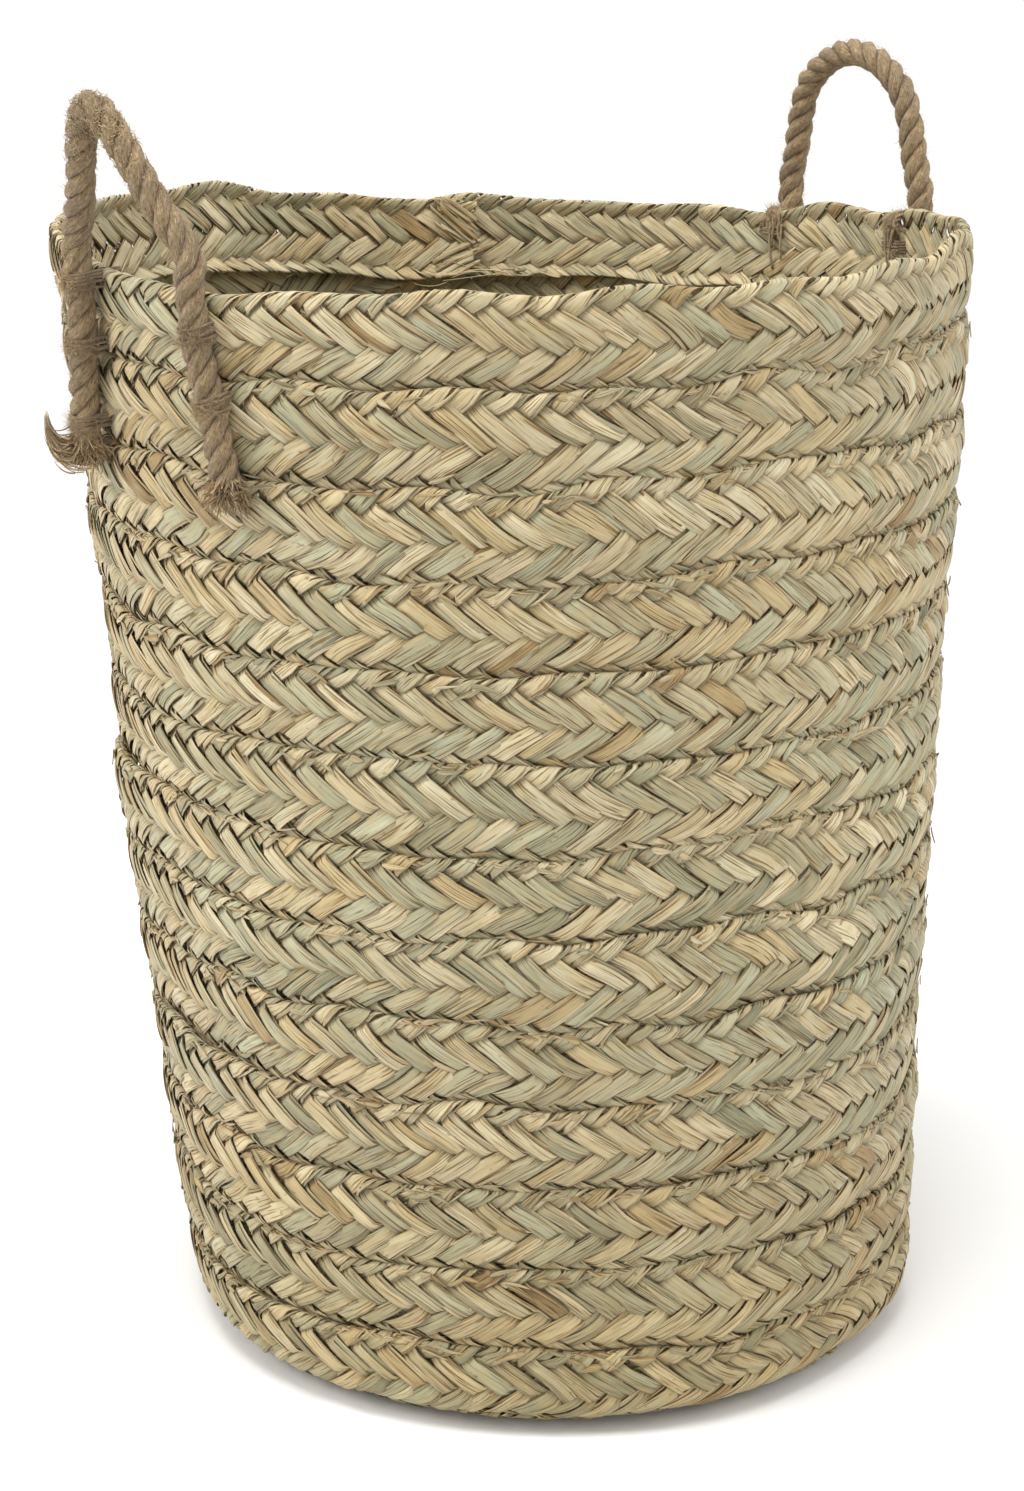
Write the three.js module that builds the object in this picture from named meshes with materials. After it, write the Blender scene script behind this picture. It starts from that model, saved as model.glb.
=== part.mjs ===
// Seagrass storage basket: one long braided strip wound and sewn edge to edge into a flat base and a
// tall tapering wall, with two jute rope handles bound to the outside of the wall.
// Millimetres, +Z up, origin on the floor at the centre of the base.
import * as THREE from 'three';
import { mergeVertices } from 'three/addons/utils/BufferGeometryUtils.js';

// Wall and base
const HEIGHT = 494;
const RIM_RADIUS = 200.5;          // outside the wall, at the rim
const FOOT_RADIUS = 170;           // outside the wall, where its line meets the floor
const BEND_RADIUS = 18;            // middle of the strip, where the base turns up into the wall
const LEAN = 0.04;                 // the hand-sewn wall leans this much towards -X for each mm of height

// Braided strip
const STRIP_WIDTH = 38;
const STRIP_THICKNESS = 8;
const STRIP_BEVEL = 3;             // the strip thins to an edge over this width
const BASE_TURNS = 4;
const WALL_TURNS = 13;
const SEAM_GAP = 0.3;
const STRIP_END_ANGLE = 95;        // degrees from +X: where each turn is counted from, and the strip ends
const CLIMB_START = 0.86;          // part of a turn run level before the strip climbs to the next turn
const STEPS_PER_TURN = 32;
const FOLD_SIDES = 12;             // of the folded start at the centre of the base
const BEND_ACROSS = [9, 15, 21, 27]; // across the strip, where it bends from the base up into the wall
const TAIL_START = -7 / STEPS_PER_TURN; // the strip's tapered start, in turns before the first full turn
const TUCK_START = 0.8;            // part of the last turn after which the strip slips inside the wall
const TUCK_END = 0.87;
const TUCK_GAP = 1;                // between the tucked strip and the wall in front of it
const LAST_STRIP_STEPS = 31.9;     // steps of the last turn, which ends just short of its own start

// Rim: a hand-sewn rim rises and falls by a few millimetres
const RIM_SWAY = 4;
const RIM_BUMP = { angle: 137, height: 10, spread: 20 };
const RIM_DIP = { angle: 236, height: -6, spread: 14 };

// Cord sewn through the edges of the strip
const LACING_RADIUS = 0.9;
const LACING_DEPTH = 1.25;         // below the outer face of the strip, in the groove between two turns
const LACING_START = 1;            // the first seam begins one turn from the strip's start
const LACING_TURNS = 15 + 21 / STEPS_PER_TURN;

// Rope handles
const ROPE_RADIUS = 6.25;
const ROPE_CLEARANCE = 0.5;
const PIVOT_ABOVE_RIM = 10;        // the loops bend about a line this far above the highest rim beside them
const LEG_TOP_BELOW_PIVOT = 9.5;
const LEG_LENGTH = 82;             // below the rim
const LEG_SWING = [                // each leg swings sideways towards its cut end
  { down: 0.6, aside: 0.6 },       // as shares of its length below the rim and of its foot's spread
  { down: 0.3, aside: 0.2 },
];
const ROPE_SIDES = 8;
const LOOP_STEPS = 26;
const LEG_STEPS = 8;
const CAP_STEPS = 3;

// Each loop as fractions of its half width and height, from the foot of one side to the crown
const LEFT_LOOP = [[1, 0], [0.76, 0.25], [0.55, 0.5], [0.35, 0.75], [0.16, 0.94]];
const RIGHT_LOOP = [[1, 0], [0.91, 0.25], [0.84, 0.5], [0.7, 0.75], [0.36, 0.94]];
const HANDLES = [
  {
    name: 'left', angle: 223.5, halfSpacing: 35.5, loopHeight: 58, tilt: 17, outline: LEFT_LOOP,
    rear: { side: -1, footSpread: 16, bindings: [-1, -29, -65] },
    front: { side: 1, footSpread: 9, bindings: [-15, -43] },
  },
  {
    name: 'right', angle: 35.9, halfSpacing: 44, loopHeight: 61, tilt: -2, outline: RIGHT_LOOP,
    rear: { side: 1, footSpread: 8, bindings: [-10, -38, -67] },
    front: { side: -1, footSpread: 8, bindings: [-10, -38, -67] },
  },
];

// Jute bindings that hold the rope to the wall
const BINDING_WIDTH = 8;
const BINDING_THICKNESS = 1.8;
const BINDING_CLEARANCE = 0.35;
const BINDING_ARC_STEPS = 10;

const SEAGRASS = { color: 0xb3a982, roughness: 0.78, metalness: 0 };
const SEAGRASS_LOW = { color: 0xa8986c, roughness: 0.8, metalness: 0 };
const LACING = { color: 0x8a6f45, roughness: 0.9, metalness: 0 };
const JUTE = { color: 0x9a7d5c, roughness: 0.95, metalness: 0 };

const FULL_TURN = 2 * Math.PI;
const SAME_POINT = 1e-4;           // corners closer than this are one corner
const WALL_SLOPE = Math.atan2(HEIGHT, RIM_RADIUS - FOOT_RADIUS);
const HALF_THICKNESS = STRIP_THICKNESS / 2;
const BEND_TOP = HALF_THICKNESS + BEND_RADIUS * (1 - Math.cos(WALL_SLOPE));
const WALL_LENGTH = (HEIGHT - BEND_TOP) / Math.sin(WALL_SLOPE);
const BEND_LENGTH = BEND_RADIUS * WALL_SLOPE;
const FLAT_RADIUS = RIM_RADIUS - (BEND_RADIUS + HALF_THICKNESS) * Math.sin(WALL_SLOPE)
  - WALL_LENGTH * Math.cos(WALL_SLOPE);
const PROFILE_LENGTH = FLAT_RADIUS + BEND_LENGTH + WALL_LENGTH;
const TURNS = BASE_TURNS + WALL_TURNS;
const START_RADIUS = PROFILE_LENGTH - TURNS * STRIP_WIDTH;

const smoothstep = (from, to, x) => {
  const t = Math.min(Math.max((x - from) / (to - from), 0), 1);
  return t * t * (3 - 2 * t);
};

// Height by which the rim departs from level, at an angle in radians
function rimWave(theta) {
  const hump = ({ angle, height, spread }) => {
    const away = (THREE.MathUtils.euclideanModulo(theta * THREE.MathUtils.RAD2DEG - angle + 180, 360) - 180)
      / spread;
    return height * Math.exp(-away * away / 2);
  };
  return RIM_SWAY * (Math.cos(2 * theta) - Math.sin(theta)) + hump(RIM_BUMP) + hump(RIM_DIP);
}

// The middle of the strip in section: flat base, round bend, straight wall. Gives the radius and height
// at a distance along it from the centre, and the direction that faces out of the basket.
function profileAt(distance) {
  const bent = THREE.MathUtils.clamp((distance - FLAT_RADIUS) / BEND_RADIUS, 0, WALL_SLOPE);
  const upWall = Math.max(distance - FLAT_RADIUS - BEND_LENGTH, 0);
  return {
    radius: Math.min(distance, FLAT_RADIUS) + BEND_RADIUS * Math.sin(bent) + upWall * Math.cos(WALL_SLOPE),
    height: HALF_THICKNESS + BEND_RADIUS * (1 - Math.cos(bent)) + upWall * Math.sin(WALL_SLOPE),
    outRadius: Math.sin(bent),
    outHeight: -Math.cos(bent),
  };
}

// A point of the basket: angle round it, distance along the profile, distance out from its middle
function basketPoint(theta, distance, out) {
  const at = profileAt(distance);
  const radius = at.radius + out * at.outRadius;
  const height = at.height + out * at.outHeight;
  const upWall = Math.max(height - BEND_TOP, 0) / (HEIGHT - BEND_TOP);
  const wave = rimWave(theta) * upWall ** 2;
  return new THREE.Vector3(
    radius * Math.cos(theta) - LEAN * height,
    radius * Math.sin(theta),
    height + wave,
  );
}

const angleAt = (turns) => STRIP_END_ANGLE * THREE.MathUtils.DEG2RAD - turns * FULL_TURN;

// Where the strip's lower edge runs: level for most of a turn, then up to the next turn
function lowerEdge(turns) {
  const whole = Math.min(Math.floor(turns), TURNS - 1);
  const climb = whole === TURNS - 1 ? 0 : smoothstep(CLIMB_START, 1, turns - whole);
  return START_RADIUS + STRIP_WIDTH * (whole + climb);
}

// How far the last turn has slipped inside the wall
function tuck(turns) {
  const along = turns - (TURNS - 1);
  return (STRIP_THICKNESS + TUCK_GAP) * smoothstep(TUCK_START, TUCK_END, along);
}

function clean(geometry) {
  geometry.deleteAttribute('normal');
  geometry.deleteAttribute('uv');
  const merged = mergeVertices(geometry, SAME_POINT);
  merged.computeVertexNormals();
  return merged;
}

function moveVertices(geometry, place) {
  const points = geometry.getAttribute('position');
  const point = new THREE.Vector3();
  for (let i = 0; i < points.count; i += 1) {
    const moved = place(point.fromBufferAttribute(points, i));
    points.setXYZ(i, moved.x, moved.y, moved.z);
  }
  return clean(geometry);
}

function named(name, geometry, look) {
  const mesh = new THREE.Mesh(geometry, new THREE.MeshStandardMaterial(look));
  mesh.name = name;
  return mesh;
}

// Section of the strip: x is out of the basket, y is across the strip from its lower edge
function stripSection(middlePoints) {
  const low = SEAM_GAP / 2;
  const high = STRIP_WIDTH - SEAM_GAP / 2;
  const across = [STRIP_BEVEL, ...middlePoints, STRIP_WIDTH - STRIP_BEVEL];
  const shape = new THREE.Shape();
  shape.moveTo(0, low);
  across.forEach((y) => shape.lineTo(HALF_THICKNESS, y));
  shape.lineTo(0, high);
  across.reverse().forEach((y) => shape.lineTo(-HALF_THICKNESS, y));
  shape.closePath();
  return shape;
}

// A length of the strip, laid out straight and then wound round the basket
function woundStrip(fromTurn, toTurn, steps, middlePoints = []) {
  const straight = new THREE.ExtrudeGeometry(stripSection(middlePoints), {
    depth: toTurn - fromTurn, steps, bevelEnabled: false,
  });
  return moveVertices(straight, ({ x, y, z }) => {
    const turns = fromTurn + z;
    const edge = lowerEdge(turns);
    const inner = Math.max(edge, START_RADIUS);
    const distance = inner + (y / STRIP_WIDTH) * (edge + STRIP_WIDTH - inner);
    return basketPoint(angleAt(turns), distance, x - tuck(turns));
  });
}

// One turn of the strip, with a hair of space before the turn that follows it
function stripTurn(index, middlePoints) {
  const middle = profileAt(START_RADIUS + STRIP_WIDTH * (index + 0.5)).radius;
  const trim = SEAM_GAP / 2 / (FULL_TURN * middle);
  const start = index === 0 ? TAIL_START : index + trim;
  const end = index === TURNS - 1 ? index + LAST_STRIP_STEPS / STEPS_PER_TURN : index + 1 - trim;
  const steps = Math.round((end - start) * STEPS_PER_TURN);
  return woundStrip(start, end, steps, middlePoints);
}

function strip() {
  const group = new THREE.Group();
  const folded = new THREE.CylinderGeometry(
    START_RADIUS - SEAM_GAP, START_RADIUS - SEAM_GAP, STRIP_THICKNESS, FOLD_SIDES,
  );
  const start = named('strip_start_fold', clean(folded), SEAGRASS_LOW);
  start.rotation.x = Math.PI / 2;
  start.position.z = HALF_THICKNESS;
  group.add(start);
  for (let turn = 0; turn < BASE_TURNS; turn += 1) {
    group.add(named(`base_turn_${turn + 1}`, stripTurn(turn), SEAGRASS_LOW));
  }
  for (let turn = 0; turn < WALL_TURNS; turn += 1) {
    const bendPoints = turn === 0 ? BEND_ACROSS : [];
    const label = String(turn + 1).padStart(2, '0');
    group.add(named(`wall_turn_${label}`, stripTurn(BASE_TURNS + turn, bendPoints), SEAGRASS));
  }
  return group;
}

// The sewing cord, lying in the outer groove between each turn and the next
function lacingCord() {
  const section = new THREE.Shape([
    new THREE.Vector2(LACING_RADIUS, 0),
    new THREE.Vector2(0, LACING_RADIUS),
    new THREE.Vector2(-LACING_RADIUS, 0),
    new THREE.Vector2(0, -LACING_RADIUS),
  ]);
  const straight = new THREE.ExtrudeGeometry(section, {
    depth: LACING_TURNS, steps: Math.round(LACING_TURNS * STEPS_PER_TURN), bevelEnabled: false,
  });
  return moveVertices(straight, ({ x, y, z }) => {
    const turns = LACING_START + z;
    return basketPoint(angleAt(turns), lowerEdge(turns) + y, HALF_THICKNESS - LACING_DEPTH + x);
  });
}

// A straight rope with round ends, along +Y from the tip of one end
function straightRope(length, steps) {
  const outline = [];
  for (let i = 0; i <= CAP_STEPS; i += 1) {
    const a = (i / CAP_STEPS) * Math.PI / 2;
    outline.push(new THREE.Vector2(ROPE_RADIUS * Math.sin(a), ROPE_RADIUS * (1 - Math.cos(a))));
  }
  const plain = length - 2 * ROPE_RADIUS;
  for (let i = 1; i < steps; i += 1) {
    outline.push(new THREE.Vector2(ROPE_RADIUS, ROPE_RADIUS + plain * (i / steps)));
  }
  for (let i = CAP_STEPS; i >= 0; i -= 1) {
    const a = (i / CAP_STEPS) * Math.PI / 2;
    outline.push(new THREE.Vector2(ROPE_RADIUS * Math.sin(a), length - ROPE_RADIUS * (1 - Math.cos(a))));
  }
  outline[0].x = 0;
  outline[outline.length - 1].x = 0;
  return new THREE.LatheGeometry(outline, ROPE_SIDES);
}

// Bends a straight rope onto a curve whose ends are the middles of the rope's round ends
function ropeAlong(curve, outward, steps) {
  const curveLength = curve.getLength();
  const straight = straightRope(curveLength + 2 * ROPE_RADIUS, steps);
  return moveVertices(straight, ({ x, y, z }) => {
    const along = y - ROPE_RADIUS;
    const at = THREE.MathUtils.clamp(along / curveLength, 0, 1);
    const beyond = along - at * curveLength;
    const ahead = curve.getTangentAt(at);
    const side = new THREE.Vector3().crossVectors(outward, ahead).normalize();
    const up = new THREE.Vector3().crossVectors(side, ahead);
    return curve.getPointAt(at)
      .addScaledVector(ahead, beyond)
      .addScaledVector(side, x)
      .addScaledVector(up, z);
  });
}

// Middle of the rope where it lies on the wall: across from the handle's middle, and height from the rim
function ropeOnWall(handle, across, height) {
  const theta = handle.angle * THREE.MathUtils.DEG2RAD + across / RIM_RADIUS;
  const distance = PROFILE_LENGTH + height / Math.sin(WALL_SLOPE);
  return basketPoint(theta, distance, HALF_THICKNESS + ROPE_CLEARANCE + ROPE_RADIUS);
}

function outwardOf(handle) {
  const theta = handle.angle * THREE.MathUtils.DEG2RAD;
  return new THREE.Vector3(Math.cos(theta), Math.sin(theta), 0);
}

// The line the loop bends about: its middle, its direction and half its length
function pivotOf(handle) {
  const tops = [-1, 1].map((side) => ropeOnWall(handle, side * handle.halfSpacing, 0));
  const height = Math.max(tops[0].z, tops[1].z) + PIVOT_ABOVE_RIM;
  tops.forEach((top) => { top.z = height; });
  const middle = tops[0].clone().add(tops[1]).divideScalar(2);
  const along = tops[1].clone().sub(tops[0]);
  return { middle, half: along.length() / 2, along: along.normalize(), ends: tops };
}

// The free loop above the rim, built upright in its own frame and tilted outwards about its pivot
function handleLoop(handle) {
  const pivot = pivotOf(handle);
  const rising = handle.outline.map(([w, h]) => new THREE.Vector3(
    -w * pivot.half, 0, h * handle.loopHeight,
  ));
  const falling = handle.outline.map(([w, h]) => new THREE.Vector3(
    w * pivot.half, 0, h * handle.loopHeight,
  )).reverse();
  const crown = new THREE.Vector3(0, 0, handle.loopHeight);
  const curve = new THREE.CatmullRomCurve3([...rising, crown, ...falling]);
  const loop = named(
    `${handle.name}_handle_loop`,
    ropeAlong(curve, new THREE.Vector3(0, -1, 0), LOOP_STEPS),
    JUTE,
  );
  loop.rotation.x = handle.tilt * THREE.MathUtils.DEG2RAD;
  const frame = new THREE.Group();
  frame.position.copy(pivot.middle);
  frame.rotation.z = Math.atan2(pivot.along.y, pivot.along.x);
  frame.add(loop);
  return frame;
}

// The part of the rope that is bound flat to the wall, from its cut end up to just under the pivot
function legCurve(handle, leg) {
  const pivot = pivotOf(handle);
  const top = pivot.ends[leg.side < 0 ? 0 : 1].clone();
  top.z -= LEG_TOP_BELOW_PIVOT + ROPE_RADIUS;
  const across = (spread) => leg.side * (handle.halfSpacing + spread);
  return new THREE.CatmullRomCurve3([
    ropeOnWall(handle, across(leg.footSpread), ROPE_RADIUS - LEG_LENGTH),
    ...LEG_SWING.map(({ down, aside }) => (
      ropeOnWall(handle, across(leg.footSpread * aside), -LEG_LENGTH * down)
    )),
    top,
  ]);
}

// A band of jute thread over the rope, its two feet on the wall
function bindingOutline() {
  const inner = ROPE_RADIUS + BINDING_CLEARANCE;
  const outer = inner + BINDING_THICKNESS;
  const foot = -ROPE_RADIUS - ROPE_CLEARANCE + SEAM_GAP;
  const shape = new THREE.Shape();
  shape.moveTo(outer, foot);
  for (let i = 0; i <= BINDING_ARC_STEPS; i += 1) {
    const a = (i / BINDING_ARC_STEPS) * Math.PI;
    shape.lineTo(outer * Math.cos(a), outer * Math.sin(a));
  }
  shape.lineTo(-outer, foot);
  shape.lineTo(-inner, foot);
  for (let i = BINDING_ARC_STEPS; i >= 0; i -= 1) {
    const a = (i / BINDING_ARC_STEPS) * Math.PI;
    shape.lineTo(inner * Math.cos(a), inner * Math.sin(a));
  }
  shape.lineTo(inner, foot);
  return shape;
}

function binding(name, handle, curve, height) {
  const geometry = new THREE.ExtrudeGeometry(bindingOutline(), {
    depth: BINDING_WIDTH, steps: 1, bevelEnabled: false,
  });
  geometry.translate(0, 0, -BINDING_WIDTH / 2);
  const at = (height + LEG_LENGTH - ROPE_RADIUS) / (LEG_LENGTH - ROPE_RADIUS);
  const middle = curve.getPointAt(at);
  const ahead = curve.getTangentAt(at);
  const radial = Math.atan2(middle.y, middle.x + LEAN * middle.z);
  const outward = new THREE.Vector3(Math.cos(radial), Math.sin(radial), 0);
  const side = new THREE.Vector3().crossVectors(outward, ahead).normalize();
  const out = new THREE.Vector3().crossVectors(ahead, side);
  const mesh = named(name, clean(geometry), JUTE);
  mesh.position.copy(middle);
  mesh.quaternion.setFromRotationMatrix(new THREE.Matrix4().makeBasis(side, out, ahead));
  return mesh;
}

function handleParts(handle) {
  const group = new THREE.Group();
  group.add(handleLoop(handle));
  for (const end of ['rear', 'front']) {
    const leg = handle[end];
    const curve = legCurve(handle, leg);
    group.add(named(
      `${handle.name}_handle_${end}_leg`,
      ropeAlong(curve, outwardOf(handle), LEG_STEPS),
      JUTE,
    ));
    leg.bindings.forEach((height, i) => {
      group.add(binding(`${handle.name}_${end}_binding_${i + 1}`, handle, curve, height));
    });
  }
  return group;
}

const basket = new THREE.Group();
basket.add(strip());
basket.add(named('lacing_cord', lacingCord(), LACING));
HANDLES.forEach((handle) => basket.add(handleParts(handle)));

export default basket;
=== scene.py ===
"""Seagrass storage basket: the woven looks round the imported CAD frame.

Lengths in the helpers are millimetres, as in the CAD; meshes are written in metres.
The strip is described by three numbers: turns (how far the strip has been wound, one per round),
across (millimetres from its lower edge) and out (millimetres out of the basket from its middle).
"""

import math

import bpy
import numpy as np
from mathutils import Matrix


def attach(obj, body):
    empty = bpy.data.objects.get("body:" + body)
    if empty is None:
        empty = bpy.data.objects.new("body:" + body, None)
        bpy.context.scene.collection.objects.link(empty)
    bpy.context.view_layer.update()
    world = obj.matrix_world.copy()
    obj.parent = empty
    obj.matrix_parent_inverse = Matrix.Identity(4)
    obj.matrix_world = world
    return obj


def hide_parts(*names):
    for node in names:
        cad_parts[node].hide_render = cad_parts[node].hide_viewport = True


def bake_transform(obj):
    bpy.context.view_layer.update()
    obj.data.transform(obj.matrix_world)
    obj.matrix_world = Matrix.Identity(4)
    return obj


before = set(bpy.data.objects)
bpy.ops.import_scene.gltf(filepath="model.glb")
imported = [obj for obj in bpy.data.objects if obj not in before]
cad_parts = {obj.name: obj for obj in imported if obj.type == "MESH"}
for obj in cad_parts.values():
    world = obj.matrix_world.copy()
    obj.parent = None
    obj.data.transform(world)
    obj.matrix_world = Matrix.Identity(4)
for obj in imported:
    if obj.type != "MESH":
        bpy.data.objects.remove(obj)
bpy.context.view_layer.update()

MM = 0.001
UP = np.array([0.0, 0.0, 1.0])

# -------- basket, as in the CAD
HEIGHT = 494.0
RIM_RADIUS = 200.5
FOOT_RADIUS = 170.0
BEND_RADIUS = 18.0
LEAN = 0.04
STRIP_WIDTH = 38.0
STRIP_THICKNESS = 8.0
BASE_TURNS = 4
WALL_TURNS = 13
TURNS = BASE_TURNS + WALL_TURNS
STRIP_END_ANGLE = math.radians(95)
CLIMB_START = 0.86
TUCK_START = 0.8
TUCK_END = 0.87
TUCK_DEPTH = 7.0
RIM_SWAY = 4.0
RIM_BUMP = (137, 10, 20)  # degrees round the rim, height, and degrees of spread
RIM_DIP = (236, -6, 14)

HALF_THICKNESS = STRIP_THICKNESS / 2
WALL_SLOPE = math.atan2(HEIGHT, RIM_RADIUS - FOOT_RADIUS)
BEND_TOP = HALF_THICKNESS + BEND_RADIUS * (1 - math.cos(WALL_SLOPE))
WALL_LENGTH = (HEIGHT - BEND_TOP) / math.sin(WALL_SLOPE)
BEND_LENGTH = BEND_RADIUS * WALL_SLOPE
FLAT_RADIUS = (RIM_RADIUS - (BEND_RADIUS + HALF_THICKNESS) * math.sin(WALL_SLOPE)
               - WALL_LENGTH * math.cos(WALL_SLOPE))
PROFILE_LENGTH = FLAT_RADIUS + BEND_LENGTH + WALL_LENGTH
START_RADIUS = PROFILE_LENGTH - TURNS * STRIP_WIDTH

# -------- plait
STRANDS = 9
CHEVRON = 12.8  # length of strip from one strand to the next
LEAVES = 3  # leaf strips seen side by side in one strand
FLOAT = 3  # crossings for which a strand stays on one side of the strip
LAST_DIVE = 2.5 * FLOAT  # where it comes to the front for the last time, before its last fold
DIVE = 0.3  # half the length, in crossings, in which it changes sides
STRAND_LIFT = 1.3  # a strand runs this far in front of or behind the strip's middle
STRAND_BULGE = 0.55  # and stands out this much more halfway along each float
FOLD_SPARE = 0.2  # its folds stand this far past the strip's edges
COVER = 1.08  # strands laid side by side overlap a little
SHINGLE = 0.12  # the mean tilt of a leaf, whose one edge lies over the next
CROWN = 2.3  # the strip is rounded across, and sinks at its seams
EDGE_TILT = 1.1  # each turn's upper edge stands out in front of the turn above
EDGE_OVERLAP = 2.6  # a turn's upper edge covers the lower edge of the turn above
RIM_OVERLAP = 0.9  # and at the rim it stands up by this
ROW_SHIFT = 0.03  # the top row of lobes is taller than the bottom one
GROOVE_DEPTH = 2.2  # the lower edge is pulled in by the sewing
GROOVE_WIDTH = 2.6
SEAM_SWAY = 1.8  # how far a seam wanders up and down
WALL_SWAY = 0.96  # how far the wall swells in and out
ROW_SWAY = 0.9  # how far a turn stands in or out beside the turns next to it
BATCH_TONE = 0.05  # how far the colour of the leaf drifts along the strip
LOOSE_LEAF_SPACING = 11  # along the strip
LOOSE_THICKNESS = 0.22  # half the thickness of a leaf that lies loose on the strip
TAIL_START = -0.21  # turns before the first full one at which the strip starts
END_LAP = 0.05  # turns by which the strip's end laps over its last turn

# -------- rope
ROPE_RADIUS = 6.25
ROPE_CLEARANCE = 0.5
PIVOT_ABOVE_RIM = 10.0
LEG_TOP = 5.75  # below the rim, where a bound leg ends and the loop begins
LEG_LENGTH = 82.0
LEG_ROOT = 14.0  # below the pivot, where the loop straightens into the leg
LAY_LENGTH = 29.0  # along the rope for one turn of its strands
# Angles are in degrees; outline holds half widths and heights as shares of the loop's; foot_spread
# moves a leg's end aside; bindings are heights from the rim; worn counts felted hairs at the crown
HANDLES = [
    {"name": "left", "angle": 223.5, "half_spacing": 35.5, "loop_height": 58, "tilt": 17,
     "outline": [(1, 0), (0.76, 0.25), (0.55, 0.5), (0.35, 0.75), (0.16, 0.94)], "worn": 2000,
     "rear": {"side": -1, "foot_spread": 16, "bindings": (-1, -29, -65)},
     "front": {"side": 1, "foot_spread": 9, "bindings": (-15, -43)}},
    {"name": "right", "angle": 35.9, "half_spacing": 44, "loop_height": 61, "tilt": -2,
     "outline": [(1, 0), (0.91, 0.25), (0.84, 0.5), (0.7, 0.75), (0.36, 0.94)], "worn": 0,
     "rear": {"side": 1, "foot_spread": 8, "bindings": (-10, -38, -67)},
     "front": {"side": -1, "foot_spread": 8, "bindings": (-10, -38, -67)}},
]


# ======== shape of the basket
def smoothstep(start, end, x):
    t = np.clip((x - start) / (end - start), 0.0, 1.0)
    return t * t * (3 - 2 * t)


def hump(theta, angle, height, spread):
    away = (np.degrees(theta) - angle + 180) % 360 - 180
    return height * np.exp(-(away / spread) ** 2 / 2)


def rim_wave(theta):
    """Height by which the rim departs from level."""
    sway = RIM_SWAY * (np.cos(2 * theta) - np.sin(theta))
    return sway + hump(theta, *RIM_BUMP) + hump(theta, *RIM_DIP)


def profile_at(distance):
    """Radius and height of the strip's middle, and the direction that faces out of the basket."""
    bent = np.clip((distance - FLAT_RADIUS) / BEND_RADIUS, 0, WALL_SLOPE)
    up_wall = np.maximum(distance - FLAT_RADIUS - BEND_LENGTH, 0)
    radius = (np.minimum(distance, FLAT_RADIUS) + BEND_RADIUS * np.sin(bent)
              + up_wall * math.cos(WALL_SLOPE))
    height = (HALF_THICKNESS + BEND_RADIUS * (1 - np.cos(bent))
              + up_wall * math.sin(WALL_SLOPE))
    return radius, height, np.sin(bent), -np.cos(bent)


def basket_point(theta, distance, out):
    """Points round the basket, in millimetres."""
    radius, height, out_radius, out_height = profile_at(distance)
    radius = radius + out * out_radius
    height = height + out * out_height
    up_wall = np.maximum(height - BEND_TOP, 0) / (HEIGHT - BEND_TOP)
    x = radius * np.cos(theta) - LEAN * height
    y = radius * np.sin(theta)
    z = height + rim_wave(theta) * up_wall ** 2
    return np.stack([x, y, z], axis=-1)


def angle_at(turns):
    return STRIP_END_ANGLE - turns * 2 * math.pi


def lower_edge(turns):
    """Distance along the profile of the strip's lower edge: level, then up to the next turn."""
    whole = np.minimum(np.floor(turns), TURNS - 1)
    climb = np.where(whole == TURNS - 1, 0.0, smoothstep(CLIMB_START, 1, turns - whole))
    return START_RADIUS + STRIP_WIDTH * (whole + climb)


def waves(x, seed, count, longest, shortest):
    """A smooth random curve of about unit size, from sines between two wavelengths."""
    rng = np.random.default_rng(seed)
    total = np.zeros_like(np.asarray(x, float))
    for _ in range(count):
        length = longest * (shortest / longest) ** rng.random()
        total = total + np.sin(2 * math.pi * (x / length + rng.random())) * (0.6 + 0.4 * rng.random())
    return total / math.sqrt(count / 2)


def seam_sway(turns):
    """How far the seam under the strip wanders up or down."""
    room = np.clip(turns / 3, 0, 1)
    return SEAM_SWAY * room * waves(turns, 11, 9, 0.31, 0.035)


def wall_sway(theta, distance):
    """How far the hand-sewn wall swells in and out."""
    upright = smoothstep(FLAT_RADIUS, FLAT_RADIUS + 60, distance)
    swell = (np.sin(3 * theta + distance / 90 + 1.1) + 0.7 * np.sin(5 * theta - distance / 61 + 4)
             + 0.5 * np.sin(9 * theta + distance / 40))
    return WALL_SWAY * upright * swell


def row_sway(turns):
    """How far each turn stands in or out beside its neighbours."""
    return ROW_SWAY * waves(turns, 13, 9, 0.7, 0.12)


def tuck(turns):
    """How far the last turn has slipped inside the wall."""
    return TUCK_DEPTH * smoothstep(TUCK_START, TUCK_END, turns - (TURNS - 1))


def strip_point(turns, across, out):
    """Points of the strip where it lies in the basket; its first turn closes on the folded start."""
    edge = lower_edge(turns)
    low = edge + seam_sway(turns)
    high = edge + STRIP_WIDTH + seam_sway(turns + 1)
    close = 0.2 + 0.8 * smoothstep(0.7, 1.0, turns)
    low = np.where(turns < 1, np.maximum(low, START_RADIUS) * close, low)
    share = across / STRIP_WIDTH
    share = share - ROW_SHIFT * np.sin(math.pi * np.clip(share, 0, 1))
    upright = smoothstep(FLAT_RADIUS - 20, FLAT_RADIUS + 20, low)
    overlap = EDGE_OVERLAP + (RIM_OVERLAP - EDGE_OVERLAP) * smoothstep(TURNS - 1.1, TURNS - 0.9, turns)
    distance = low + share * (high + overlap * upright - low)
    crown = CROWN * (4 * share * (1 - share) - 0.3) + EDGE_TILT * (2 * share - 1)
    crown = crown - GROOVE_DEPTH * np.exp(-(across / GROOVE_WIDTH) ** 2)
    theta = angle_at(turns)
    shift = (crown + row_sway(turns)) * upright - tuck(turns) + wall_sway(theta, distance)
    return basket_point(theta, distance, out + shift)


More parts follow.
